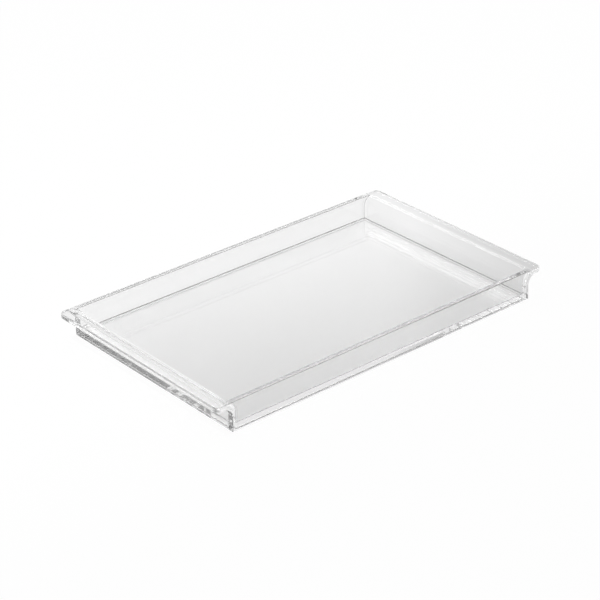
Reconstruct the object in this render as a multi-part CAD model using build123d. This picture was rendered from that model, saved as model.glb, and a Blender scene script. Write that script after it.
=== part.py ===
from build123d import *

import os
from math import asin, degrees

# A clear vanity tray, cut from acrylic sheet and cemented: a floor, two side walls, two end walls
# whose tops are bent outwards into grips, and the films of cement between them.
# Millimetres. X runs along the tray, Y across it and Z up. The origin is on the table, under the
# tray's centre.

# Overall sizes
BODY_LENGTH = 278.0  # over the outer faces of the two end walls
BODY_WIDTH = 178.5  # over the outer faces of the two side walls
WALL_HEIGHT = 22.75  # from the table to the top of the walls and grips

# Sheet and cement
WALL_SHEET = 4.0  # sheet that the four walls are cut from
FLOOR_SHEET = 4.0  # sheet that the floor is cut from
CEMENT_FILM = 0.2  # gap between two cemented faces, filled with cement
FLOOR_LIFT = 0.6  # the floor hangs this far above the table, and the walls stand on it

# Grips, bent from the end walls. The sheet gathers inside the bend, and is thickest there.
GRIP_REACH = 13.4  # from an end wall's outer face to the grip's outer edge
BEND_TOP_RADIUS = 8.0  # outside of the bend, from the tray's inside to the grip's top
BEND_UNDER_RADIUS = 7.0  # inside of the bend, under the grip
GRIP_CORNER_RADIUS = 4.5  # the grip's two outer corners, seen from above

# Faces that the pieces share
END_X = BODY_LENGTH / 2  # outer face of an end wall
SIDE_Y = BODY_WIDTH / 2  # outer face of a side wall
INNER_X = END_X - WALL_SHEET  # inner face of an end wall
INNER_Y = SIDE_Y - WALL_SHEET  # inner face of a side wall
GRIP_X = END_X + GRIP_REACH
GRIP_UNDERSIDE = WALL_HEIGHT - WALL_SHEET
BEND_Z = WALL_HEIGHT - BEND_TOP_RADIUS  # where an end wall's inner face starts to bend

# A side wall's ends follow the bends, one film of cement away
CUT_RADIUS = BEND_TOP_RADIUS + CEMENT_FILM
CUT_ANGLE = degrees(asin(BEND_TOP_RADIUS / CUT_RADIUS))  # how far round the bend the wall goes

UPWARDS = (Align.CENTER, Align.CENTER, Align.MIN)


def slab(outline, low, high):
    """A closed outline in the XZ plane, made solid from Y = low to Y = high."""
    return Pos(0, high, 0) * extrude(Plane.XZ * make_face(outline), amount=high - low)


def end_wall():
    """The right-hand end wall: a strip right across the tray, its top bent outwards."""
    inner_face = Line((INNER_X, 0), (INNER_X, BEND_Z))
    bend_top = JernArc(inner_face @ 1, (0, 1), BEND_TOP_RADIUS, -90)
    grip_top = Line(bend_top @ 1, (GRIP_X, WALL_HEIGHT))
    grip_edge = Line(grip_top @ 1, (GRIP_X, GRIP_UNDERSIDE))
    grip_under = Line(grip_edge @ 1, (END_X + BEND_UNDER_RADIUS, GRIP_UNDERSIDE))
    bend_under = JernArc(grip_under @ 1, (-1, 0), BEND_UNDER_RADIUS, 90)
    outer_face = Line(bend_under @ 1, (END_X, 0))
    foot = Line(outer_face @ 1, inner_face @ 0)
    outline = [inner_face, bend_top, grip_top, grip_edge, grip_under, bend_under, outer_face, foot]
    strip = slab(outline, -SIDE_Y, SIDE_Y)
    corners = strip.edges().filter_by(Axis.Z).group_by(Axis.X)[-1]
    return fillet(corners, GRIP_CORNER_RADIUS)


def right_half(clearance):
    """Right half of the outline between the end walls, this far from their inner faces."""
    foot = Line((0, 0), (INNER_X - clearance, 0))
    end = Line(foot @ 1, (INNER_X - clearance, BEND_Z))
    radius = BEND_TOP_RADIUS + clearance
    bend = JernArc(end @ 1, (0, 1), radius, -CUT_ANGLE)
    top = Line(bend @ 1, (0, (bend @ 1).Y))
    return [foot, end, bend, top, Line(top @ 1, foot @ 0)]


def side_wall():
    """The front wall: a flat strip along the tray, its ends cut to the end walls' bends."""
    right = slab(right_half(CEMENT_FILM), -SIDE_Y, -INNER_Y)
    return (right + mirror(right, about=Plane.YZ)).clean()


def floor_panel():
    """The floor: a flat panel between the four walls, one film of cement from each."""
    length = 2 * (INNER_X - CEMENT_FILM)
    width = 2 * (INNER_Y - CEMENT_FILM)
    return Pos(0, 0, FLOOR_LIFT) * Box(length, width, FLOOR_SHEET, align=UPWARDS)


def floor_cement():
    """Four films of cement, one along each edge of the floor. The long ones take the corners."""
    long_film = Box(2 * INNER_X, CEMENT_FILM, FLOOR_SHEET, align=UPWARDS)
    short_film = Box(CEMENT_FILM, 2 * (INNER_Y - CEMENT_FILM), FLOOR_SHEET, align=UPWARDS)
    middle = CEMENT_FILM / 2
    films = []
    for side in (-1, 1):
        films.append(Pos(0, side * (INNER_Y - middle), FLOOR_LIFT) * long_film)
        films.append(Pos(side * (INNER_X - middle), 0, FLOOR_LIFT) * short_film)
    return Compound(children=films)


def corner_cement():
    """Four films of cement, one at each corner, between a side wall's end and the end wall."""
    foot = Line((INNER_X - CEMENT_FILM, 0), (INNER_X, 0))
    wall_side = Line(foot @ 1, (INNER_X, BEND_Z))
    wall_bend = JernArc(wall_side @ 1, (0, 1), BEND_TOP_RADIUS, -CUT_ANGLE)
    end_side = Line(foot @ 0, (INNER_X - CEMENT_FILM, BEND_Z))
    end_bend = JernArc(end_side @ 1, (0, 1), CUT_RADIUS, -CUT_ANGLE)
    top = Line(wall_bend @ 1, end_bend @ 1)
    right = slab([foot, wall_side, wall_bend, top, end_bend, end_side], -SIDE_Y, -INNER_Y)
    fronts = [right, mirror(right, about=Plane.YZ)]
    backs = [mirror(film, about=Plane.XZ) for film in fronts]
    return Compound(children=fronts + backs)


right_end_wall = end_wall()
front_wall = side_wall()
pieces = {
    "floor_panel": floor_panel(),
    "front_wall": front_wall,
    "back_wall": mirror(front_wall, about=Plane.XZ),
    "left_end_wall": mirror(right_end_wall, about=Plane.YZ),
    "right_end_wall": right_end_wall,
    "floor_cement": floor_cement(),
    "corner_cement": corner_cement(),
}

os.makedirs("parts", exist_ok=True)
for node, shape in pieces.items():
    export_step(shape, f"parts/{node}.step")
    size = shape.bounding_box().size
    print(f"{node}: {shape.volume / 1000:.2f} cm3, {size.X:.1f} x {size.Y:.1f} x {size.Z:.2f} mm")
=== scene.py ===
# %% [markdown]
# A clear vanity tray
#
# This lesson dresses a low acrylic tray: a floor, two side walls and two end walls whose tops are
# bent outwards into grips, all cut from clear sheet and cemented together. The engineering model
# of it is loaded first and never moves. Every visible piece is then made again on the same
# sizes, with the small rounds, beads and finishes that clear plastic needs to look real.

# %% Load the engineering model
from math import asin, cos, pi, radians, sin, sqrt

import bmesh
import bpy
from mathutils import Matrix, Vector


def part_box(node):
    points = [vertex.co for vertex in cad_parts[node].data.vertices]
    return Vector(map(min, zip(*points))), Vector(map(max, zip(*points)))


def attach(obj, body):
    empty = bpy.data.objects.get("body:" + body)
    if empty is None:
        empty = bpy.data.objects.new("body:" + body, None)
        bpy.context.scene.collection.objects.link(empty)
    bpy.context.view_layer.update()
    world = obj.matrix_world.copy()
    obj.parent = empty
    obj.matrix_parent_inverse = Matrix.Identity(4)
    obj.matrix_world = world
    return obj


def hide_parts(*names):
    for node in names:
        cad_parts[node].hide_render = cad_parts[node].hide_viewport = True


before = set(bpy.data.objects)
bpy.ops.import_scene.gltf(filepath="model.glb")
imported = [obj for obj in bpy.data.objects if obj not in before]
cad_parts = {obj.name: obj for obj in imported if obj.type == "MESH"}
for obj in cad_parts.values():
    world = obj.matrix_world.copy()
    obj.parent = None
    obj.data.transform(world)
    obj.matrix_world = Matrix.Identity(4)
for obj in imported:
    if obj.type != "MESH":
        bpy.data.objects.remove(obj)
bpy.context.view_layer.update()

MM = 0.001
print("nodes:", ", ".join(sorted(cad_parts)))

# %% [markdown]
# Sizes
#
# A piece that is made again has to land where the engineering model has it, so its sizes are read
# from the model's boxes. A box says nothing of a bend's radius or an edge's finish, and those few
# sizes are written down here.

# %% Sizes from the model's boxes, and the few that a box doesn't show
side_low, side_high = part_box("back_wall")
end_low, end_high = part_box("right_end_wall")
floor_low, floor_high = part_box("floor_panel")
film_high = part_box("floor_cement")[1]

SHEET = side_high[1] - side_low[1]
HALF_WIDTH = end_high[1]
HEIGHT = end_high[2]
INNER_X = end_low[0]  # inner face of an end wall
INNER_Y = side_low[1]  # inner face of a side wall
GRIP_TIP = end_high[0]
FLOOR_UNDER = floor_low[2]
FLOOR_TOP = floor_high[2]
FILM = film_high[0] - floor_high[0]  # of cement, between two sheets

BEND_TOP_RADIUS = 8.0 * MM  # from the tray's inside to the top of a grip
BEND_UNDER_RADIUS = 7.0 * MM  # under a grip
GRIP_CORNER_RADIUS = 4.5 * MM  # a grip's two outer corners, seen from above
EDGE_ROUND = 0.3 * MM  # an end wall's polished ends
TIP_ROUND = 1.3 * MM  # a grip's outer edge, above and below: the tip folds if EDGE_ROUND is more
FINE_ROUND = 0.1 * MM  # the walls' feet
ARRIS_WIDTH = 0.2 * MM  # a scraped hairline
FAINT_ARRIS = 0.05 * MM  # the one inside the front wall, which the photo hardly shows
BEAD_RADIUS = GRIP_CORNER_RADIUS - SHEET  # one row of the end wall's mesh then ends both
UNDER_BEAD = 0.4 * MM  # the bead of cement under the floor

SEAM_LOW = FLOOR_UNDER - UNDER_BEAD
SEAM_HIGH = FLOOR_TOP + BEAD_RADIUS
BEND_Z = HEIGHT - BEND_TOP_RADIUS
CUT_RADIUS = BEND_TOP_RADIUS + FILM
CUT_ANGLE = asin(BEND_TOP_RADIUS / CUT_RADIUS)  # how far round the bend a side wall's end reaches
print(f"sheet {SHEET / MM:.2f} mm, film {FILM / MM:.2f} mm, inner faces at {INNER_X / MM:.2f} "
      f"and {INNER_Y / MM:.2f} mm, grip tip at {GRIP_TIP / MM:.2f} mm")

# %% [markdown]
# Helpers for node trees and colours
#
# Shaders and shapes are both trees of nodes here, so one small function adds a node to either
# kind. Colours are picked as sRGB hex values, as on a paint chart, and Blender mixes light in
# linear values, so one function turns the first into the second.

# %% Add a node, and read a colour
MATH = "ShaderNodeMath"  # one sum with one to three numbers, in a shader or a shape


def fill_inputs(tree, node, inputs):
    """Give a node's inputs, by name or number, a value, a socket or another node's first output."""
    for name, value in inputs.items():
        if isinstance(value, bpy.types.Node):
            value = value.outputs[0]
        if isinstance(value, bpy.types.NodeSocket):
            tree.links.new(value, node.inputs[name])
        else:
            node.inputs[name].default_value = value


def add_node(tree, kind, inputs=None, **settings):
    """Add a node with these settings, and fill its inputs."""
    node = tree.nodes.new(kind)
    for name, value in settings.items():
        setattr(node, name, value)
    fill_inputs(tree, node, inputs or {})
    return node


def linear(hex_colour):
    """The linear colour, with alpha, of an sRGB hex value such as #F4F6F6, by the sRGB standard."""
    channels = [int(hex_colour[i:i + 2], 16) / 255 for i in (1, 3, 5)]
    return [c / 12.92 if c <= 0.04045 else ((c + 0.055) / 1.055) ** 2.4 for c in channels] + [1.0]


WHITE = "#FFFFFF"
print("middle grey in linear light:", [round(c, 3) for c in linear("#808080")])

# %% [markdown]
# The skin of a real sheet
#
# No real surface is quite flat or quite even, and a clear, shiny one shows it most. One small tree
# of nodes does for every finish here. A noise, as long from wave to wave as the real one in
# millimetres, gives both the bump and a roughness that changes slowly from place to place. It is
# read in Object coordinates, so it lies still on the piece. A picture of a surface could do the
# same, but it shows its pixels from near by and its repeats from far away.

# %% Waves, and a roughness that follows them
NOISE_RANGE = (0.35, 0.65)  # nearly all of a noise lies between these
NOISE_DETAIL = 1.0  # one layer of finer waves over the first


def new_material(name):
    """An empty material: the material, its node tree and its output node."""
    material = bpy.data.materials.new(name)
    material.use_nodes = True
    tree = material.node_tree
    tree.nodes.clear()
    return material, tree, add_node(tree, "ShaderNodeOutputMaterial")


def skin(tree, wave_length, wave_depth, roughness):
    """A bump and a roughness from one noise. The roughness is given as a range, low and high."""
    place = add_node(tree, "ShaderNodeTexCoord").outputs["Object"]
    waves = add_node(tree, "ShaderNodeTexNoise", {
        "Vector": place, "Scale": 1 / wave_length, "Detail": NOISE_DETAIL}).outputs["Fac"]
    bump = add_node(tree, "ShaderNodeBump", {"Height": waves, "Distance": wave_depth})
    rough = add_node(tree, "ShaderNodeMapRange", {
        "Value": waves, "From Min": NOISE_RANGE[0], "From Max": NOISE_RANGE[1],
        "To Min": roughness[0], "To Max": roughness[1]})
    return bump, rough


print("a skin reads its noise between", NOISE_RANGE)

# %% [markdown]
# Cast acrylic sheet
#
# The tray is cut from cast acrylic, PMMA, which bends light by an index of 1.49 and swallows almost
# none of it. Its faces are as smooth as the glass plates that they were cast between, apart from a
# slow waviness, which shows as a gentle wobble in what they mirror. Where a strip was heated and
# bent, the soft plastic was drawn along the bend and keeps faint streaks, which break a highlight
# into fine lines. The side walls' top edges are flame polished: still clear, but a touch softer and
# greyer, so they draw the tray's rim.
#
# A Glass shader could do this. The Principled one can also be matt, so one function makes every
# finish of the plastic.

# %% Cast acrylic: polished, bent hot and flame polished
ACRYLIC_IOR = 1.49
EDGE_COLOUR = "#F2F2F2"
HAZE = (0.0, 0.02)
EDGE_HAZE = (0.02, 0.05)
WAVE_LENGTH = 35.0 * MM
WAVE_DEPTH = 0.004 * MM
STREAK_WIDTH = 1.6 * MM
STREAK_LENGTH = 160.0 * MM
STREAK_DEPTH = 0.002 * MM


def hot_bend_streaks(tree, bump):
    """Faint streaks along Y, the way the bend runs, on top of another bump."""
    place = add_node(tree, "ShaderNodeTexCoord").outputs["Object"]
    drawn = add_node(tree, "ShaderNodeMapping", {
        "Vector": place, "Scale": (1 / STREAK_WIDTH, 1 / STREAK_LENGTH, 1 / STREAK_WIDTH)})
    lines = add_node(tree, "ShaderNodeTexNoise",
                     {"Vector": drawn, "Scale": 1.0, "Detail": NOISE_DETAIL}).outputs["Fac"]
    return add_node(tree, "ShaderNodeBump",
                    {"Height": lines, "Distance": STREAK_DEPTH, "Normal": bump})


def plastic(name, colour, wave_length, wave_depth, roughness, clear=True, streaks=False):
    """A finish of the acrylic or its cement: clear or matt, with its own waves."""
    material, tree, output = new_material(name)
    bump, rough = skin(tree, wave_length, wave_depth, roughness)
    if streaks:
        bump = hot_bend_streaks(tree, bump)
    body = add_node(tree, "ShaderNodeBsdfPrincipled", {
        "Base Color": linear(colour),
        "Roughness": rough,
        "IOR": ACRYLIC_IOR,
        "Transmission Weight": float(clear),
        "Normal": bump,
    })
    fill_inputs(tree, output, {"Surface": body})
    return material


ACRYLIC = plastic("cast_acrylic_polished", WHITE, WAVE_LENGTH, WAVE_DEPTH, HAZE)
BENT_ACRYLIC = plastic("cast_acrylic_bent_hot", WHITE, WAVE_LENGTH, WAVE_DEPTH, HAZE, streaks=True)
EDGE_ACRYLIC = plastic("cast_acrylic_flame_polished_edge", EDGE_COLOUR, WAVE_LENGTH, WAVE_DEPTH,
                       EDGE_HAZE)
print("acrylic:", ", ".join(m.name for m in (ACRYLIC, BENT_ACRYLIC, EDGE_ACRYLIC)))

# %% [markdown]
# Solvent cement, and the faces that it joins
#
# The sheets are joined with a thin solvent that melts a skin of both faces and dries back into the
# same plastic: clear, a shade darker, and uneven, so a joint reads as a fine grey line. The two
# faces that it melted together are gone, and light crosses them as if they weren't there. Left as
# glass they would mirror each other inside every joint. So each joined face gets a finish that
# does nothing to light, and only the cement's own open side bends it.

# %% Set cement, and a joined face
CEMENT_COLOUR = "#CCCCCC"
CEMENT_WAVE = 9.0 * MM
CEMENT_DEPTH = 0.0005 * MM
CEMENT_HAZE = (0.0, 0.03)


def cemented_face():
    """A face that the cement has melted into its neighbour: light crosses it unchanged."""
    material, tree, output = new_material("cemented_face_clear")
    nothing = add_node(tree, "ShaderNodeBsdfTransparent", {"Color": linear(WHITE)})
    fill_inputs(tree, output, {"Surface": nothing})
    return material


CEMENT = plastic("solvent_cement_set", CEMENT_COLOUR, CEMENT_WAVE, CEMENT_DEPTH, CEMENT_HAZE)
JOINED = cemented_face()
print("cement:", CEMENT.name, "and", JOINED.name)

# %% [markdown]
# Scraped hairlines
#
# A sawn edge is too sharp to leave, so its corners are scraped with a blade, which leaves a matt
# hairline a fifth of a millimetre wide. The photo shows these as thin, even grey lines along the
# tray's rim. As clear rounds they are narrower than a pixel and sparkle in loose dots. As a matt
# grey with the scraper's fine marks, they draw an even line: that grey is partly painted shade, the
# dark line that a clear edge shows. The thin rims of the floor's bead of cement wear the same
# finish, for the same reason.

# %% A scraped hairline, its grey partly painted shade
# Painted shade, in part: this grey draws the dark line of a clear edge
SCRAPED_AND_PAINTED_SHADE_GREY = "#8C8C8C"
SCRAPE_WAVE = 0.8 * MM
SCRAPE_DEPTH = 0.004 * MM
SCRAPE_ROUGHNESS = (0.35, 0.55)

ARRIS = plastic("cast_acrylic_scraped_painted_shade", SCRAPED_AND_PAINTED_SHADE_GREY, SCRAPE_WAVE, SCRAPE_DEPTH,
                SCRAPE_ROUGHNESS, clear=False)
print("edge:", ARRIS.name)

# %% [markdown]
# A shell over rings of points
#
# Every piece but the end walls is a row of rings: each ring has the same number of points, and
# faces join it to the next. That holds for a side wall, for the floor and for cement alike, so one
# function makes them all. It also keeps each face's finish, because a joined face and an open one
# often lie side by side on one sheet.

# %% A shell over rings, and a mesh from shells
def shell_over(rings, side_finishes, cap_finishes=None):
    """Join rings of points, one to the next, into the points, faces and finishes of a closed shell.

    Every row of sides has its own list of finishes. The two ends get caps. Without finishes for
    them, the last ring joins the first instead.
    """
    ring = len(rings[0])
    points = [point for points_of_ring in rings for point in points_of_ring]
    faces, finishes = [], []
    for row, row_finishes in enumerate(side_finishes):
        for corner, finish in enumerate(row_finishes):
            a = ring * row + corner
            b = ring * row + (corner + 1) % ring
            faces.append((a, b, (b + ring) % len(points), (a + ring) % len(points)))
            finishes.append(finish)
    if cap_finishes:
        top = len(points) - ring
        faces += [tuple(reversed(range(ring))), tuple(range(top, top + ring))]
        finishes += cap_finishes
    return points, faces, finishes


def mesh_from(name, shells, materials):
    """One mesh from one or more shells, whose finishes are all among these materials."""
    points, faces, numbers = [], [], []
    for shell_points, shell_faces, finishes in shells:
        start = len(points)
        points += shell_points
        faces += [tuple(start + corner for corner in face) for face in shell_faces]
        numbers += [materials.index(finish) for finish in finishes]
    mesh = bpy.data.meshes.new(name)
    mesh.from_pydata(points, [], faces)
    for material in materials:
        mesh.materials.append(material)
    mesh.polygons.foreach_set("material_index", numbers)
    return mesh


print("a square prism's faces:", shell_over([[(0, 0, 0)] * 4] * 2, [[ACRYLIC] * 4], [ACRYLIC] * 2)[1])

# %% [markdown]
# From a mesh to a finished piece
#
# Finishing is the same for all pieces. Doubled points go, and the faces turn outwards, since light
# bends the wrong way at a face that looks inwards. Round places are shaded smooth and flat ones
# stay flat. Then the piece rides the tray's one body, and stands in for its node of the
# engineering model.

# %% Finish and place a piece
SHARP_ANGLE = radians(40)
SAME_POINT = 0.001 * MM
LARGE_FACES_ONLY = 100  # the modifier's most: the largest faces alone turn the normals they share


def evaluated_mesh(source):
    """A plain mesh of what an object's modifiers make of it."""
    bpy.context.view_layer.update()
    graph = bpy.context.evaluated_depsgraph_get()
    return bpy.data.meshes.new_from_object(source.evaluated_get(graph))


def finish_piece(name, mesh, node, merge=True):
    """Turn a mesh into a piece of the tray: clean, facing outwards, smooth where it is round.

    A piece of several shells that touch isn't merged, because that would tie them together.
    """
    shape = bmesh.new()
    shape.from_mesh(mesh)
    if merge:
        bmesh.ops.remove_doubles(shape, verts=shape.verts, dist=SAME_POINT)
        bmesh.ops.dissolve_degenerate(shape, edges=shape.edges, dist=SAME_POINT)
    bmesh.ops.recalc_face_normals(shape, faces=shape.faces)
    volume = shape.calc_volume(signed=True)
    if volume < 0:
        bmesh.ops.reverse_faces(shape, faces=shape.faces)
    open_edges = sum(not edge.is_manifold for edge in shape.edges)
    shape.to_mesh(mesh)
    shape.free()
    mesh.shade_smooth()
    mesh.set_sharp_from_angle(angle=SHARP_ANGLE)

    piece = bpy.data.objects.new(name, mesh)
    bpy.context.scene.collection.objects.link(piece)
    weighted = piece.modifiers.new("flat faces stay flat", "WEIGHTED_NORMAL")
    weighted.weight = LARGE_FACES_ONLY
    weighted.keep_sharp = True
    finished = evaluated_mesh(piece)
    piece.modifiers.clear()
    piece.data = finished
    finished.name = name
    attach(piece, "root")
    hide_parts(node)
    print(f"{name}: {len(finished.polygons)} faces, {abs(volume) / MM**3 / 1000:.2f} cm3, "
          f"open edges {open_edges}")


print(f"an edge over {round(SHARP_ANGLE * 180 / pi)} degrees stays sharp")

# %% [markdown]
# End walls: the outline
#
# Each end wall is one strip of sheet right across the tray. Its upper part was heated along a line
# and folded outwards into a grip, so the bend has its own radius above and below, and the grip's
# two outer corners are cut round. Its ends are polished with the side walls' faces.
#
# A box could be bevelled by hand into this shape. It follows a rule, though, so a tree of geometry
# nodes makes it, in four steps with a cell each: an outline with a radius at every corner, a path
# across the tray, the sweep of one along the other with its corners drawn in, and the patches where
# cement joins it. Every size is a named input, so one tree makes both ends.

# %% The outline, with a radius at every corner
BEND_STEPS = 28
TIP_STEPS = 8
ROUND_STEPS = 4


def end_wall_outline(tree, size):
    """The outline in the plane of the bend, X out of the tray and Y up, which keeps its tangents."""
    outer = add_node(tree, MATH, {0: size["Inner Face"], 1: size["Sheet"]}, operation="ADD")
    under = add_node(tree, MATH, {0: size["Height"], 1: size["Sheet"]}, operation="SUBTRACT")
    corners = (
        (size["Inner Face"], 0.0, size["Fine Round"], ROUND_STEPS),
        (size["Inner Face"], size["Seam Low"], 0.0, 1),
        (size["Inner Face"], size["Seam High"], 0.0, 1),
        (size["Inner Face"], size["Height"], size["Top Radius"], BEND_STEPS),
        (size["Grip Tip"], size["Height"], size["Tip Round"], TIP_STEPS),
        (size["Grip Tip"], under, size["Tip Round"], TIP_STEPS),
        (outer, under, size["Under Radius"], BEND_STEPS),
        (outer, 0.0, size["Fine Round"], ROUND_STEPS),
    )
    points = [add_node(tree, "ShaderNodeCombineXYZ", {"X": x, "Y": z}) for x, z, _, _ in corners]
    radii = [radius for _, _, radius, _ in corners]
    steps = [count for _, _, _, count in corners]
    index = add_node(tree, "GeometryNodeInputIndex")
    choices = []
    for kind, values in (("VECTOR", points), ("FLOAT", radii), ("INT", steps)):
        choice = add_node(tree, "GeometryNodeIndexSwitch", {"Index": index}, data_type=kind)
        while len(choice.index_switch_items) < len(values):
            choice.index_switch_items.new()
        fill_inputs(tree, choice, {str(number): value for number, value in enumerate(values)})
        choices.append(choice)
    chosen_point, chosen_radius, chosen_steps = choices

    dots = add_node(tree, "GeometryNodeMeshLine", {"Count": len(corners)})
    string = add_node(tree, "GeometryNodeMeshToCurve", {"Mesh": dots})
    loop = add_node(tree, "GeometryNodeSetSplineCyclic", {0: string, "Cyclic": True})
    placed = add_node(tree, "GeometryNodeSetPosition", {0: loop, "Position": chosen_point})
    rounded_loop = add_node(tree, "GeometryNodeFilletCurve", {
        "Curve": placed, "Count": chosen_steps, "Radius": chosen_radius}, mode="POLY")
    outline = add_node(tree, "GeometryNodeCaptureAttribute", {0: rounded_loop})
    outline.capture_items.new("VECTOR", "Tangent")
    fill_inputs(tree, outline, {"Tangent": add_node(tree, "GeometryNodeInputTangent")})
    return outline


print(f"an outline's bends have {BEND_STEPS} steps, its tip's rounds {TIP_STEPS}")

# %% [markdown]
# End walls: the path across the tray
#
# The outline is carried across the tray from station to station. A flat stretch needs none, so the
# stations crowd where the grip's corners turn, one for each step of a quarter circle. The station
# nearest to a side wall's inner face is moved onto it, so that an edge of the mesh lies there and a
# joined patch can end on it.

# %% The path, with its stations where the grip's corners turn
CORNER_STEPS = 12
SAME_STATION = 0.15 * MM  # a station this near a side wall's inner face is moved onto it


def end_wall_path(tree, size):
    """The path across the tray, along Z of the outline's own axes."""
    last = 2 * CORNER_STEPS + 1
    index = add_node(tree, "GeometryNodeInputIndex")
    from_end = add_node(tree, MATH, {0: float(last), 1: index}, operation="SUBTRACT")
    nearest = add_node(tree, MATH, {0: index, 1: from_end}, operation="MINIMUM")
    turn = add_node(tree, MATH, {0: nearest, 1: pi / 2 / CORNER_STEPS}, operation="MULTIPLY")
    cosine = add_node(tree, MATH, {0: turn}, operation="COSINE")
    flat_half = add_node(tree, MATH,
                         {0: size["Half Width"], 1: size["Corner Radius"]}, operation="SUBTRACT")
    even = add_node(tree, MATH,
                    {0: cosine, 1: size["Corner Radius"], 2: flat_half}, operation="MULTIPLY_ADD")

    off_face = add_node(tree, MATH, {0: even, 1: size["Side Wall Face"]}, operation="SUBTRACT")
    gap = add_node(tree, MATH, {0: off_face}, operation="ABSOLUTE")
    by_face = add_node(tree, MATH, {0: gap, 1: SAME_STATION}, operation="LESS_THAN")
    station = add_node(tree, "ShaderNodeMix",
                       {"Factor": by_face, "A": even, "B": size["Side Wall Face"]})

    halfway = add_node(tree, MATH, {0: index, 1: last / 2}, operation="SUBTRACT")
    sign = add_node(tree, MATH, {0: halfway}, operation="SIGN")
    signed = add_node(tree, MATH, {0: station, 1: sign}, operation="MULTIPLY")
    place = add_node(tree, "ShaderNodeCombineXYZ", {"Z": signed})
    dots = add_node(tree, "GeometryNodeMeshLine", {"Count": last + 1})
    line = add_node(tree, "GeometryNodeMeshToCurve", {"Mesh": dots})
    return add_node(tree, "GeometryNodeSetPosition", {0: line, "Position": place})


print(f"a path has {2 * CORNER_STEPS + 2} stations")

# %% [markdown]
# End walls: the sweep, and its corners
#
# The sweep gives a strip with square ends. Near each end, a quarter circle draws the grip's tip
# towards the tray, which cuts its corners round as seen from above. A much smaller one draws every
# face into the sheet, which is the soft edge of a polished end. It leaves alone the part of the
# inner face that is cemented to a side wall's end, because no edge shows there.

# %% The sweep, drawn in at its corners
def radius_left(tree, across, size, radius):
    """The share of a quarter circle's radius that is left: 1 along the strip, 0 at its very end."""
    start = add_node(tree, MATH, {0: size["Half Width"], 1: radius}, operation="SUBTRACT")
    past = add_node(tree, MATH, {0: across, 1: start}, operation="SUBTRACT")
    share = add_node(tree, MATH, {0: past, 1: radius}, operation="DIVIDE")
    clamped = add_node(tree, "ShaderNodeClamp", {"Value": share})
    square = add_node(tree, MATH, {0: clamped, 1: clamped}, operation="MULTIPLY")
    rest = add_node(tree, MATH, {0: 1.0, 1: square}, operation="SUBTRACT")
    return add_node(tree, MATH, {0: rest}, operation="SQRT")


def swept_strip(tree, size, outline, path):
    """Sweep the outline along the path, draw its corners in, and stand it upright on its own side."""
    swept = add_node(tree, "GeometryNodeCurveToMesh",
                     {"Curve": path, "Profile Curve": outline, "Fill Caps": True})
    here = add_node(tree, "GeometryNodeInputPosition")
    axes = add_node(tree, "ShaderNodeSeparateXYZ", {0: here}).outputs
    across = add_node(tree, MATH, {0: axes["Z"]}, operation="ABSOLUTE")

    # Every face that shows, drawn into the sheet at right angles to the outline
    along = add_node(tree, "ShaderNodeSeparateXYZ", {0: outline.outputs["Tangent"]}).outputs
    shows = add_node(tree, MATH, {0: along["Y"], 1: size["Cut Facing"]}, operation="LESS_THAN")
    edge_left = radius_left(tree, across, size, size["Edge Round"])
    edge_lost = add_node(tree, MATH, {0: 1.0, 1: edge_left}, operation="SUBTRACT")
    depth = add_node(tree, MATH, {0: edge_lost, 1: size["Edge Round"]}, operation="MULTIPLY")
    inset = add_node(tree, MATH, {0: depth, 1: shows}, operation="MULTIPLY")
    x_inset = add_node(tree, MATH, {0: inset, 1: along["Y"], 2: axes["X"]}, operation="MULTIPLY_ADD")
    drop = add_node(tree, MATH, {0: inset, 1: along["X"]}, operation="MULTIPLY")
    z_inset = add_node(tree, MATH, {0: axes["Y"], 1: drop}, operation="SUBTRACT")

    # The grip's tip, drawn towards the centre of its corner's quarter circle
    centre = add_node(tree, MATH, {0: size["Grip Tip"], 1: size["Corner Radius"]}, operation="SUBTRACT")
    beyond = add_node(tree, MATH, {0: x_inset, 1: centre}, operation="SUBTRACT")
    outside = add_node(tree, MATH, {0: beyond, 1: 0.0}, operation="MAXIMUM")
    tip_left = radius_left(tree, across, size, size["Corner Radius"])
    tip_lost = add_node(tree, MATH, {0: 1.0, 1: tip_left}, operation="SUBTRACT")
    pulled = add_node(tree, MATH, {0: outside, 1: tip_lost}, operation="MULTIPLY")
    x_rounded = add_node(tree, MATH, {0: x_inset, 1: pulled}, operation="SUBTRACT")

    x_sided = add_node(tree, MATH, {0: x_rounded, 1: size["Side"]}, operation="MULTIPLY")
    place = add_node(tree, "ShaderNodeCombineXYZ", {"X": x_sided, "Y": axes["Z"], "Z": z_inset})
    shaped = add_node(tree, "GeometryNodeSetPosition", {0: swept, "Position": place})
    return add_node(tree, "GeometryNodeRealizeInstances", {0: shaped})


print(f"a grip's corners have a radius of {GRIP_CORNER_RADIUS / MM:.1f} mm")

# %% [markdown]
# End walls: the joined patches
#
# Cement joins an end wall to the floor, to the bead in the inner corner and to the side walls'
# ends. Each patch is named by what holds on it, and true counts as 1, so a product says that all
# of a rule holds and a maximum that any rule does. Painting the faces by hand would do once, but
# the rule still holds when a size changes.

# %% The patches that cement joins
SAME_FACE = 0.01 * MM  # a face this near the inner face lies on it
NEARLY_FLAT = 0.99  # of a normal's X, on a face that is square to X


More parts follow.
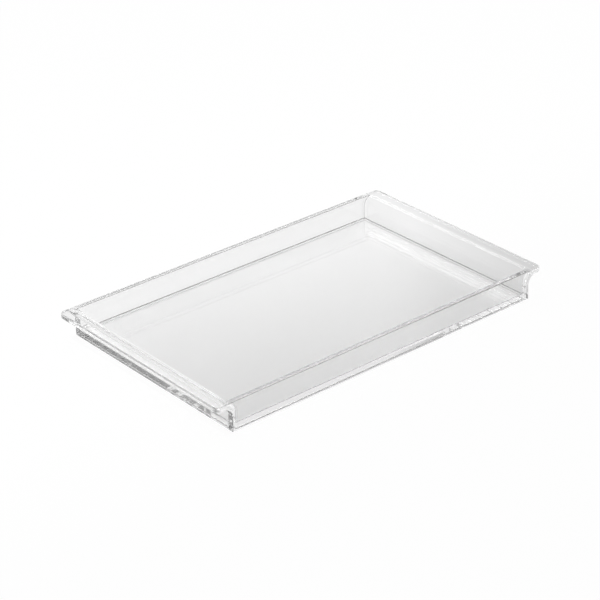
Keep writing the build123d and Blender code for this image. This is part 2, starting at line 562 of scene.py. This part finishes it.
def joined_patches(tree, size):
    """Where the finished strip is cemented: 1 there, and 0 elsewhere."""
    facing = add_node(tree, "ShaderNodeSeparateXYZ", {0: add_node(tree, "GeometryNodeInputNormal")})
    place = add_node(tree, "ShaderNodeSeparateXYZ", {0: add_node(tree, "GeometryNodeInputPosition")})
    sideways = add_node(tree, MATH, {0: facing.outputs["X"]}, operation="ABSOLUTE")
    x = add_node(tree, MATH, {0: place.outputs["X"]}, operation="ABSOLUTE")
    y = add_node(tree, MATH, {0: place.outputs["Y"]}, operation="ABSOLUTE")
    z = place.outputs["Z"]
    bend_end = add_node(tree, MATH, {0: size["Inner Face"], 1: size["Top Radius"]}, operation="ADD")
    at_inner = add_node(tree, MATH, {0: size["Inner Face"], 1: SAME_FACE}, operation="ADD")
    tests = {
        "up to the cut": (sideways, "GREATER_THAN", size["Cut Facing"]),
        "on the tray's side": (x, "LESS_THAN", bend_end),
        "by the side wall": (y, "GREATER_THAN", size["Side Wall Face"]),
        "by the bead": (y, "GREATER_THAN", size["Bead Edge"]),
        "above the foot": (z, "GREATER_THAN", size["Fine Round"]),
        "by the floor": (y, "LESS_THAN", size["Side Wall Face"]),
        "above the floor": (z, "GREATER_THAN", size["Seam High"]),
        "above the lower bead": (z, "GREATER_THAN", size["Seam Low"]),
        "below the upper bead": (z, "LESS_THAN", size["Seam High"]),
        "flat": (sideways, "GREATER_THAN", NEARLY_FLAT),
        "on the inner face": (x, "LESS_THAN", at_inner),
    }
    holds = {name: add_node(tree, MATH, {0: a, 1: b}, operation=how)
             for name, (a, how, b) in tests.items()}
    rules = (
        ("up to the cut", "on the tray's side", "by the side wall", "above the foot"),
        ("up to the cut", "on the tray's side", "by the bead", "above the floor"),
        ("flat", "on the inner face", "by the floor", "above the lower bead", "below the upper bead"),
    )
    anywhere = 0.0
    for rule in rules:
        patch = 1.0
        for name in rule:
            patch = add_node(tree, MATH, {0: patch, 1: holds[name]}, operation="MULTIPLY")
        anywhere = add_node(tree, MATH, {0: anywhere, 1: patch}, operation="MAXIMUM")
    return anywhere


print("a strip's joined patches: by the side walls, by the beads and by the floor")

# %% [markdown]
# End walls: the tree, and both ends
#
# The four steps are put together in one tree, which is run once for each end of the tray. The left
# wall is the right one with its X turned round, by an input of its own. The result is kept as a
# plain mesh, since the exported model holds no node tree.

# %% The two end walls
END_WALL_SIZES = {
    "Sheet": SHEET,
    "Half Width": HALF_WIDTH,
    "Height": HEIGHT,
    "Inner Face": INNER_X,
    "Grip Tip": GRIP_TIP,
    "Top Radius": BEND_TOP_RADIUS,
    "Under Radius": BEND_UNDER_RADIUS,
    "Corner Radius": GRIP_CORNER_RADIUS,
    "Edge Round": EDGE_ROUND,
    "Fine Round": FINE_ROUND,
    "Tip Round": TIP_ROUND,
    "Seam Low": SEAM_LOW,
    "Seam High": SEAM_HIGH,
    "Side Wall Face": INNER_Y,
    "Bead Edge": INNER_Y - BEAD_RADIUS,
    "Cut Facing": cos(CUT_ANGLE),  # a normal's X, or a tangent's Y, where a side wall's end stops
}
END_WALL_FINISHES = {"Acrylic": BENT_ACRYLIC, "Joined": JOINED}


def end_wall_tree():
    """A node tree that bends a strip of sheet into an end wall, from named sizes."""
    tree = bpy.data.node_groups.new("bent_end_wall", "GeometryNodeTree")
    tree.interface.new_socket("Geometry", in_out="OUTPUT", socket_type="NodeSocketGeometry")
    for name in ("Side", *END_WALL_SIZES):
        tree.interface.new_socket(name, in_out="INPUT", socket_type="NodeSocketFloat")
    for name in END_WALL_FINISHES:
        tree.interface.new_socket(name, in_out="INPUT", socket_type="NodeSocketMaterial")
    size = add_node(tree, "NodeGroupInput").outputs
    outline = end_wall_outline(tree, size)
    path = end_wall_path(tree, size)
    strip = swept_strip(tree, size, outline, path)
    plain = add_node(tree, "GeometryNodeSetMaterial", {0: strip, "Material": size["Acrylic"]})
    joined = add_node(tree, "GeometryNodeSetMaterial", {
        0: plain, "Selection": joined_patches(tree, size), "Material": size["Joined"]})
    add_node(tree, "NodeGroupOutput", {0: joined})
    return tree


def end_wall(name, side, tree, node):
    """Run the tree for one end of the tray, and keep the result as a plain mesh."""
    carrier = bpy.data.objects.new(name + "_tree", bpy.data.meshes.new(name + "_tree"))
    bpy.context.scene.collection.objects.link(carrier)
    bender = carrier.modifiers.new("bend", "NODES")
    bender.node_group = tree
    sockets = {item.name: item.identifier for item in tree.interface.items_tree
               if item.in_out == "INPUT"}
    for label, value in {"Side": side, **END_WALL_SIZES, **END_WALL_FINISHES}.items():
        bender[sockets[label]] = value
    mesh = evaluated_mesh(carrier)
    bpy.data.objects.remove(carrier)
    finish_piece(name, mesh, node)


bent_strip = end_wall_tree()
end_wall("end_wall_strip_right", 1.0, bent_strip, "right_end_wall")
end_wall("end_wall_strip_left", -1.0, bent_strip, "left_end_wall")

# %% [markdown]
# Side walls
#
# The front and back walls are flat strips that stand on the table, between the end walls. Their
# ends are cut to follow the bends, one film of cement away. Their top edges are flame polished,
# with a scraped hairline along both sides, whose grey is partly painted shade. A bevelled box can't
# follow the bends, so each strip is a shell over rings of six points, one ring for every height
# that the bends or the hairlines need.

# %% The two side walls
def wall_end(z, clearance):
    """How far from the middle a piece reaches at this height, this far short of the end wall."""
    if z <= BEND_Z:
        return INNER_X - clearance
    return INNER_X + BEND_TOP_RADIUS - sqrt((BEND_TOP_RADIUS + clearance)**2 - (z - BEND_Z)**2)


def set_back(z, radius):
    """How far a face stands back at this height, where its top edge has this radius."""
    rise = min(radius, max(0.0, z - (HEIGHT - radius)))
    return radius - sqrt(radius**2 - rise**2)


def side_wall_heights(wide):
    """The height of every ring, for a top edge whose wider hairline is this wide."""
    bends = [BEND_Z + CUT_RADIUS * sin(step * CUT_ANGLE / BEND_STEPS) for step in range(1, BEND_STEPS)]
    turns = [step * pi / 2 / ROUND_STEPS for step in range(ROUND_STEPS)]
    heights = [0.0, FINE_ROUND, SEAM_LOW, SEAM_HIGH, BEND_Z]
    heights += [z for z in bends if z < HEIGHT - wide - FINE_ROUND]
    heights += [HEIGHT - wide * (1 - sin(turn)) for turn in turns]
    return heights + [HEIGHT]


def side_wall(name, side, node, inner_arris, outer_arris):
    """A flat strip along the tray, as rings of points from its foot to its polished top edge."""
    heights = side_wall_heights(max(inner_arris, outer_arris))
    rings, finishes = [], []
    for z in heights:
        foot = max(0.0, FINE_ROUND - z)
        near = side * (INNER_Y + set_back(z, inner_arris) + foot)
        far = side * (HALF_WIDTH - set_back(z, outer_arris) - foot)
        end = wall_end(z, FILM)
        bead = wall_end(z, BEAD_RADIUS)
        rings.append([(-end, near, z), (-bead, near, z), (bead, near, z), (end, near, z),
                      (end, far, z), (-end, far, z)])
    for low in heights[:-1]:
        inner = ARRIS if low >= HEIGHT - inner_arris - SAME_POINT else ACRYLIC
        outer = ARRIS if low >= HEIGHT - outer_arris - SAME_POINT else ACRYLIC
        by_bead = JOINED if low >= SEAM_LOW else inner
        by_floor = JOINED if SEAM_LOW <= low < SEAM_HIGH else inner
        finishes.append([by_bead, by_floor, by_bead, JOINED, outer, JOINED])
    strip = shell_over(rings, finishes, [ACRYLIC, EDGE_ACRYLIC])
    mesh = mesh_from(name, [strip], [ACRYLIC, JOINED, ARRIS, EDGE_ACRYLIC])
    finish_piece(name, mesh, node)


side_wall("side_wall_strip_front", -1, "front_wall", FAINT_ARRIS, ARRIS_WIDTH)
side_wall("side_wall_strip_back", 1, "back_wall", ARRIS_WIDTH, ARRIS_WIDTH)

# %% [markdown]
# The floor
#
# The floor is a flat sheet between the four walls. It hangs a little above the table, so that the
# tray stands on its walls, and the gap draws a thin dark line along the foot of the front wall.
# It needs no more than a box. Its edges and a narrow border beside them are joined faces, because
# cement covers them.

# %% The floor sheet
def level_ring(inset, z):
    """The four corners of a level rectangle, this far in from the walls' inner faces."""
    x = INNER_X - inset
    y = INNER_Y - inset
    return [(-x, -y, z), (x, -y, z), (x, y, z), (-x, y, z)]


def floor_sheet(name, node):
    """A flat panel. Its edges, and a narrow border under the beads of cement, are joined faces."""
    rings = [level_ring(UNDER_BEAD, FLOOR_UNDER), level_ring(FILM, FLOOR_UNDER),
             level_ring(FILM, FLOOR_TOP), level_ring(BEAD_RADIUS, FLOOR_TOP)]
    joined_row = [JOINED] * len(rings[0])
    panel = shell_over(rings, [joined_row] * (len(rings) - 1), [ACRYLIC, ACRYLIC])
    mesh = mesh_from(name, [panel], [ACRYLIC, JOINED])
    finish_piece(name, mesh, node)


floor_sheet("floor_sheet_flat", "floor_panel")

# %% [markdown]
# Cement round the floor
#
# Solvent runs into the gap between floor and walls by itself. What is left over dries as a small
# hollow bead in the corner, above and below. It shows as a thin bright line with a dark one beside
# it, which a plain square corner never has. The film and both beads are one section, and it goes
# right round the tray as a closed frame, so it has no ends to hide. The two steps of each bead
# where it thins out against the walls are drawn as scraped hairlines, whose grey is partly painted
# shade.

# %% Cement round the floor
BEAD_STEPS = 6
RIM_STEPS = 2


def floor_films(name, node):
    """The film between floor and walls, and the small hollow beads that it leaves in the corners."""
    turns = [step * pi / 2 / BEAD_STEPS for step in range(BEAD_STEPS + 1)]
    section = [(BEAD_RADIUS * (1 - cos(turn)), FLOOR_TOP + BEAD_RADIUS * (1 - sin(turn)))
               for turn in turns]
    section += [(FILM, FLOOR_TOP), (FILM, FLOOR_UNDER)]
    section += [(UNDER_BEAD * (1 - sin(turn)), FLOOR_UNDER - UNDER_BEAD * (1 - cos(turn)))
                for turn in turns]
    rim = [ARRIS] * RIM_STEPS
    hollow = [CEMENT] * (BEAD_STEPS - RIM_STEPS)
    along = rim + hollow + [JOINED] * 3 + hollow + rim + [JOINED]
    rings = [level_ring(inset, z) for inset, z in section]
    cement_frame = shell_over(rings, [[finish] * len(rings[0]) for finish in along])
    mesh = mesh_from(name, [cement_frame], [CEMENT, JOINED, ARRIS])
    finish_piece(name, mesh, node)


floor_films("floor_cement_bead", "floor_cement")

# %% [markdown]
# Cement at the corners
#
# The same cement fills the gap between a side wall's end and the end wall, up round the bend, and
# leaves a hollow bead on the inside. Film and bead are two sections run up one path. The path is
# the end wall's own inner face and bend, so that both follow it without a gap.

# %% Cement at the four corners
def corner_path(low):
    """Stations up an end wall's inner face and round its bend: a place and the way out of the wall."""
    heights = [z for z in (0.0, SEAM_LOW, SEAM_HIGH, BEND_Z) if z >= low]
    stations = [(Vector((INNER_X, z)), Vector((-1.0, 0.0))) for z in heights]
    centre = Vector((INNER_X + BEND_TOP_RADIUS, BEND_Z))
    for step in range(1, BEND_STEPS + 1):
        turn = step * CUT_ANGLE / BEND_STEPS
        out = Vector((-cos(turn), sin(turn)))
        stations.append((centre + BEND_TOP_RADIUS * out, out))
    return stations


def corner_strips(section, side_finishes, low):
    """Run a section of (depth from the end wall, Y) points up all four corners of the tray."""
    stations = corner_path(low)
    strips = []
    for x_side in (-1, 1):
        for y_side in (-1, 1):
            rings = []
            for place, out in stations:
                spots = [(place + depth * out, y) for depth, y in section]
                rings.append([(x_side * spot.x, y_side * y, min(spot.y, HEIGHT)) for spot, y in spots])
            strips.append(shell_over(rings, [side_finishes] * (len(rings) - 1), [CEMENT, CEMENT]))
    return strips


def corner_cement(name, node):
    """In each corner, the film between the two walls, and the hollow bead on the inside of it."""
    film = [(0.0, INNER_Y), (FILM, INNER_Y), (FILM, HALF_WIDTH), (0.0, HALF_WIDTH)]
    bead = [(0.0, INNER_Y)]
    for step in range(BEAD_STEPS + 1):
        turn = step * pi / 2 / BEAD_STEPS
        bead.append((BEAD_RADIUS * (1 - cos(turn)), INNER_Y - BEAD_RADIUS * (1 - sin(turn))))
    films = corner_strips(film, [JOINED, JOINED, CEMENT, JOINED], 0.0)
    beads = corner_strips(bead, [JOINED] + [CEMENT] * BEAD_STEPS + [JOINED], SEAM_HIGH)
    mesh = mesh_from(name, films + beads, [CEMENT, JOINED])
    finish_piece(name, mesh, node, merge=False)


corner_cement("corner_cement_bead", "corner_cement")

# %% [markdown]
# The table
#
# The tray stands on white paint, lit so evenly that the photo shows nothing of it. Looked at
# straight, the table is white, with a trace of real shadow. Looked at through the acrylic or in
# it, the table has a painted falloff to grey towards the camera, and a painted shade under the
# tray with a slope of its own. That comes from its paint and from a glow of the same level, never
# from more light on the tray. Light that the floor sheet gathers makes the left grip lighter in
# the photo, and a soft strip of lighter paint under the left end wall is painted light that stands
# in for it. Beside both end walls, under the grips, lies a narrow dark painted contact shadow,
# which the far wall's foot passes on through the whole floor to the near one.

# %% The white paint's level from place to place, with painted light and shade
# Painted shade: each slope is a painted falloff towards the camera; the lower level is painted shade under
# the tray.
LEVEL_OPEN = 0.805  # the open table's level, carried on to the tray's middle
PAINTED_FALLOFF_OPEN = (-0.30, 1.70, 0.0)  # how much the level rises in a metre along X, Y and Z
PAINTED_SHADE_LEVEL_COVERED = 0.765  # the same two under the tray
PAINTED_FALLOFF_COVERED = (0.34, 1.15, 0.0)
LEVEL_RANGE = (0.60, 0.86)
# Painted light: a lighter strip of paint under the left end wall
GATHERED_X = (-117.0 * MM, -139.0 * MM)  # the lighter strip comes in from the first to the second
GATHERED_Y = (-78.0 * MM, -62.0 * MM)
GATHERED_LIGHT = 0.24  # what the strip adds to the level
# Painted shadow: a darker strip of paint beside both end walls, under the grips
FOOT_SHADOW_WIDTH = 5.5 * MM
FOOT_SHADOW_LEVEL = 0.34


def sloping_level(tree, place, level, slope):
    """A level that rises evenly with the place."""
    rise = add_node(tree, "ShaderNodeVectorMath", {0: place, 1: slope}, operation="DOT_PRODUCT")
    return add_node(tree, MATH, {0: rise.outputs["Value"], 1: level}, operation="ADD")


def paint_level(tree):
    """Table paint level with painted light and shade, as the acrylic shows it: 1 is white."""
    place = add_node(tree, "ShaderNodeTexCoord").outputs["Object"]
    spot = add_node(tree, "ShaderNodeSeparateXYZ", {0: place}).outputs
    from_middle = add_node(tree, "ShaderNodeVectorMath", {0: place}, operation="ABSOLUTE")
    away = add_node(tree, "ShaderNodeSeparateXYZ", {0: from_middle}).outputs
    body_end = INNER_X + SHEET
    in_length = add_node(tree, MATH, {0: away["X"], 1: body_end}, operation="LESS_THAN")
    in_width = add_node(tree, MATH, {0: away["Y"], 1: HALF_WIDTH}, operation="LESS_THAN")
    covered = add_node(tree, MATH, {0: in_length, 1: in_width}, operation="MULTIPLY")
    # Painted shade under the tray, on a painted falloff towards the camera
    painted_falloff_and_shade = add_node(tree, "ShaderNodeMix", {
        "Factor": covered,
        "A": sloping_level(tree, place, LEVEL_OPEN, PAINTED_FALLOFF_OPEN),
        "B": sloping_level(tree, place, PAINTED_SHADE_LEVEL_COVERED, PAINTED_FALLOFF_COVERED)})
    clamped = add_node(tree, "ShaderNodeClamp",
                       {"Value": painted_falloff_and_shade, "Min": LEVEL_RANGE[0], "Max": LEVEL_RANGE[1]})

    # Painted light: a lighter strip for the light that the floor sheet gathers, under the left end wall
    along = add_node(tree, "ShaderNodeMapRange", {
        "Value": spot["X"], "From Min": GATHERED_X[0], "From Max": GATHERED_X[1],
        "To Max": GATHERED_LIGHT}, interpolation_type="SMOOTHSTEP")
    across = add_node(tree, "ShaderNodeMapRange", {
        "Value": spot["Y"], "From Min": GATHERED_Y[0], "From Max": GATHERED_Y[1],
    }, interpolation_type="SMOOTHSTEP")
    soft = add_node(tree, MATH, {0: along, 1: across}, operation="MULTIPLY")
    gathered = add_node(tree, MATH, {0: soft, 1: covered, 2: clamped}, operation="MULTIPLY_ADD")

    # The painted contact shadow, beside both end walls
    in_shadow = add_node(tree, MATH,
                         {0: away["X"], 1: body_end + FOOT_SHADOW_WIDTH}, operation="LESS_THAN")
    beside = add_node(tree, MATH, {0: in_shadow, 1: in_length}, operation="SUBTRACT")
    shadow = add_node(tree, MATH, {0: beside, 1: in_width}, operation="MULTIPLY")
    return add_node(tree, "ShaderNodeMix", {"Factor": shadow, "A": gathered, "B": FOOT_SHADOW_LEVEL})


print(f"paint levels from {LEVEL_RANGE[0]} to {LEVEL_RANGE[1]}, contact shadow {FOOT_SHADOW_LEVEL}")

# %% [markdown]
# The table top
#
# The top is one square face, far larger than the picture, because only its paint matters. It lies
# a hair below the tray's feet, so that the two never share a face. Its paint glows in part: nearly
# all of it where the camera looks at it straight, so that it is white with a trace of shadow, and
# less where it is seen through the acrylic or in it, so that a shadow is darker there.

# %% A white table
TABLE_SIZE = 12.0  # metres
TABLE_DROP = 0.2 * MM
TABLE_GLOW = 0.97  # share of the paint's light that is glow, looked at straight
TABLE_GLOW_IN_ACRYLIC = 0.7


def table_paint():
    """White paint, painted light and shade: colour and glow have one level, each kind of ray its share."""
    material, tree, output = new_material("white_table_paint_with_painted_shade")
    tone = paint_level(tree)
    rays = add_node(tree, "ShaderNodeLightPath").outputs
    straight = rays["Is Camera Ray"]
    in_acrylic = add_node(tree, MATH,
                          {0: rays["Is Glossy Ray"], 1: rays["Is Transmission Ray"]}, operation="MAXIMUM")
    level = add_node(tree, "ShaderNodeMix", {"Factor": straight, "A": tone, "B": 1.0})
    straight_glow = add_node(tree, MATH, {0: straight, 1: TABLE_GLOW}, operation="MULTIPLY")
    acrylic_glow = add_node(tree, MATH, {0: in_acrylic, 1: TABLE_GLOW_IN_ACRYLIC}, operation="MULTIPLY")
    share = add_node(tree, MATH, {0: straight_glow, 1: acrylic_glow}, operation="MAXIMUM")
    paint = add_node(tree, "ShaderNodeBsdfDiffuse", {"Color": tone})
    glow = add_node(tree, "ShaderNodeEmission", {"Color": linear(WHITE), "Strength": level})
    both = add_node(tree, "ShaderNodeMixShader", {0: share, 1: paint, 2: glow})
    fill_inputs(tree, output, {"Surface": both})
    return material


def table():
    """A white table top, a hair under the tray."""
    half = TABLE_SIZE / 2
    points = [(-half, -half, -TABLE_DROP), (half, -half, -TABLE_DROP),
              (half, half, -TABLE_DROP), (-half, half, -TABLE_DROP)]
    paint = table_paint()
    mesh = mesh_from("table", [(points, [(0, 1, 2, 3)], [paint])], [paint])
    top = bpy.data.objects.new("table", mesh)
    bpy.context.scene.collection.objects.link(top)
    print(f"table: {TABLE_SIZE:.0f} m square, {TABLE_DROP / MM:.1f} mm below the tray's feet")


table()

# %% [markdown]
# The studio's light
#
# Clear plastic has no colour of its own: all that it shows is the room. Here the room has a pale
# sweep behind the tray, sides that are lighter near the table, and a dark end behind the camera,
# which gives the sheet its grey lines. The backdrop is white only where it is looked at straight.

# %% The studio's room
ROOM_LEVEL = 0.33
SWEEP_LEVEL = 0.84
SIDE_LEVEL = 0.50
SIDE_LOW_LEVEL = 0.88
SIDE_RISE = (21.0, 25.0)  # the sides darken between these elevations, in degrees
STUDIO_AZIMUTH = -8.0  # the middle of the sweep, from Y towards X, in degrees
SWEEP_EDGE = (50.5, 53.0)  # degrees from its middle, over which the sweep fades out
SIDE_EDGE = (100.0, 112.0)  # and the sides


def studio():
    """White for the camera. For the acrylic, a pale sweep behind it in a dark room."""
    world = bpy.data.worlds.new("studio")
    bpy.context.scene.world = world
    world.use_nodes = True
    tree = world.node_tree
    tree.nodes.clear()
    way = add_node(tree, "ShaderNodeTexCoord").outputs["Generated"]
    level_way = add_node(tree, "ShaderNodeVectorMath", {0: way, 1: (1.0, 1.0, 0.0)}, operation="MULTIPLY")
    compass = add_node(tree, "ShaderNodeVectorMath", {0: level_way}, operation="NORMALIZE")
    sweep_middle = (sin(radians(STUDIO_AZIMUTH)), cos(radians(STUDIO_AZIMUTH)), 0.0)
    towards = add_node(tree, "ShaderNodeVectorMath", {0: compass, 1: sweep_middle}, operation="DOT_PRODUCT")
    up = add_node(tree, "ShaderNodeSeparateXYZ", {0: way}).outputs["Z"]
    sides = add_node(tree, "ShaderNodeMapRange", {
        "Value": up, "From Min": sin(radians(SIDE_RISE[0])), "From Max": sin(radians(SIDE_RISE[1])),
        "To Min": SIDE_LOW_LEVEL, "To Max": SIDE_LEVEL}, interpolation_type="SMOOTHSTEP")
    room = ROOM_LEVEL
    for edge, level in ((SIDE_EDGE, sides), (SWEEP_EDGE, SWEEP_LEVEL)):
        room = add_node(tree, "ShaderNodeMapRange", {
            "Value": towards.outputs["Value"], "From Min": cos(radians(edge[1])),
            "From Max": cos(radians(edge[0])), "To Min": room, "To Max": level,
        }, interpolation_type="SMOOTHSTEP")
    seen = add_node(tree, "ShaderNodeLightPath").outputs["Is Camera Ray"]
    strength = add_node(tree, "ShaderNodeMix", {"Factor": seen, "A": room, "B": 1.0})
    light = add_node(tree, "ShaderNodeBackground", {"Color": linear(WHITE), "Strength": strength})
    add_node(tree, "ShaderNodeOutputWorld", {"Surface": light})


studio()
print(f"room at {ROOM_LEVEL}, with a sweep at {SWEEP_LEVEL} behind the tray")

# %% [markdown]
# The lamps
#
# One broad softbox hangs overhead and lights the tray evenly. A narrow strip lamp behind it draws
# the long highlight on the right-hand bend, and is kept out of all that is matt, so that it adds
# nothing to the table. A lamp's power is worked out from its level beside white paper, so that its
# size can change and its look doesn't.

# %% Two softboxes
def softbox(name, azimuth, elevation, distance, size, level, diffuse=True):
    """A lamp that faces the tray, this bright beside white paper. Size is its width and height."""
    around, rise = radians(azimuth), radians(elevation)
    place = distance * Vector((cos(rise) * sin(around), cos(rise) * cos(around), sin(rise)))
    data = bpy.data.lights.new(name, "AREA")
    data.shape = "RECTANGLE"
    data.size, data.size_y = size
    data.energy = level * pi * size[0] * size[1]
    lamp = bpy.data.objects.new(name, data)
    lamp.location = place
    lamp.rotation_euler = place.to_track_quat("Z", "Y").to_euler()
    lamp.visible_diffuse = diffuse
    bpy.context.scene.collection.objects.link(lamp)
    print(f"{name}: at {[round(v, 2) for v in place]}, {data.energy:.1f} W")


softbox("softbox_overhead", azimuth=-15.0, elevation=82.0, distance=1.2, size=(0.8, 0.8), level=5.0)
softbox("softbox_behind", azimuth=20.0, elevation=48.5, distance=1.43, size=(0.08, 0.40), level=7.0,
        diffuse=False)

# %% [markdown]
# The camera
#
# The picture was taken from above one corner with a long lens. Place, turn and lens come from
# fitting the tray's own edges to the photo, so that the two can be laid over each other. Nothing
# in the scene changes with where the camera stands.

# %% The camera
CAMERA_PLACE = Vector((-0.8647, -1.0215, 0.7278))
CAMERA_YAW = radians(-40.12)
CAMERA_PITCH = radians(28.10)
CAMERA_ROLL = radians(0.958)
FRAME_PIXELS = 600
FOCAL_PIXELS = 2103.3
HALF_PIXEL = 0.5 / FRAME_PIXELS  # the fit counted from the middle of the first pixel
SENSOR = 36.0  # mm, as is the lens
NEAREST = 0.05  # metres
FARTHEST = 50.0


def camera():
    """The camera where the photograph was taken from."""
    data = bpy.data.cameras.new("camera")
    data.sensor_width = SENSOR
    data.lens = FOCAL_PIXELS / FRAME_PIXELS * SENSOR
    data.shift_x = -HALF_PIXEL
    data.shift_y = HALF_PIXEL
    data.clip_start = NEAREST
    data.clip_end = FARTHEST
    level = Vector((cos(CAMERA_YAW), sin(CAMERA_YAW), 0.0))
    forward = Vector((-sin(CAMERA_YAW) * cos(CAMERA_PITCH), cos(CAMERA_YAW) * cos(CAMERA_PITCH),
                      -sin(CAMERA_PITCH)))
    down = forward.cross(level)
    right = cos(CAMERA_ROLL) * level + sin(CAMERA_ROLL) * down
    lower = -sin(CAMERA_ROLL) * level + cos(CAMERA_ROLL) * down
    turned = Matrix((right, -lower, -forward)).transposed().to_4x4()
    seen = bpy.data.objects.new("camera", data)
    seen.matrix_world = Matrix.Translation(CAMERA_PLACE) @ turned
    bpy.context.scene.collection.objects.link(seen)
    bpy.context.scene.camera = seen
    print(f"camera: lens {data.lens:.1f} mm")


camera()

# %% [markdown]
# How far light is followed
#
# Light that gets into the edge of a clear sheet is mirrored inside it again and again: what enters
# the foot of one end wall runs through the whole floor, some thirty mirrorings long, and comes out
# at the other. A render that gives up early counts such light as black, and leaves black patches
# along the foot. So it is followed for MIRRORINGS turns. Few rays go that far, so this costs next
# to nothing. Gloss isn't blurred to save time either, as that would soften the sheet's fine lines.

# %% Long paths for light, and colours as they are written
MIRRORINGS = 120
MATT_BOUNCES = 4

scene = bpy.context.scene
scene.view_settings.view_transform = "Standard"
scene.cycles.max_bounces = MIRRORINGS
scene.cycles.glossy_bounces = MIRRORINGS
scene.cycles.transmission_bounces = MIRRORINGS
scene.cycles.transparent_max_bounces = MIRRORINGS
scene.cycles.diffuse_bounces = MATT_BOUNCES
scene.cycles.blur_glossy = 0.0
print("light is followed for", scene.cycles.max_bounces, "turns")

# %% [markdown]
# Both boxes
# The end
# Nothing more is made; the last cell only says so.

# %% Finish
print("scene built")
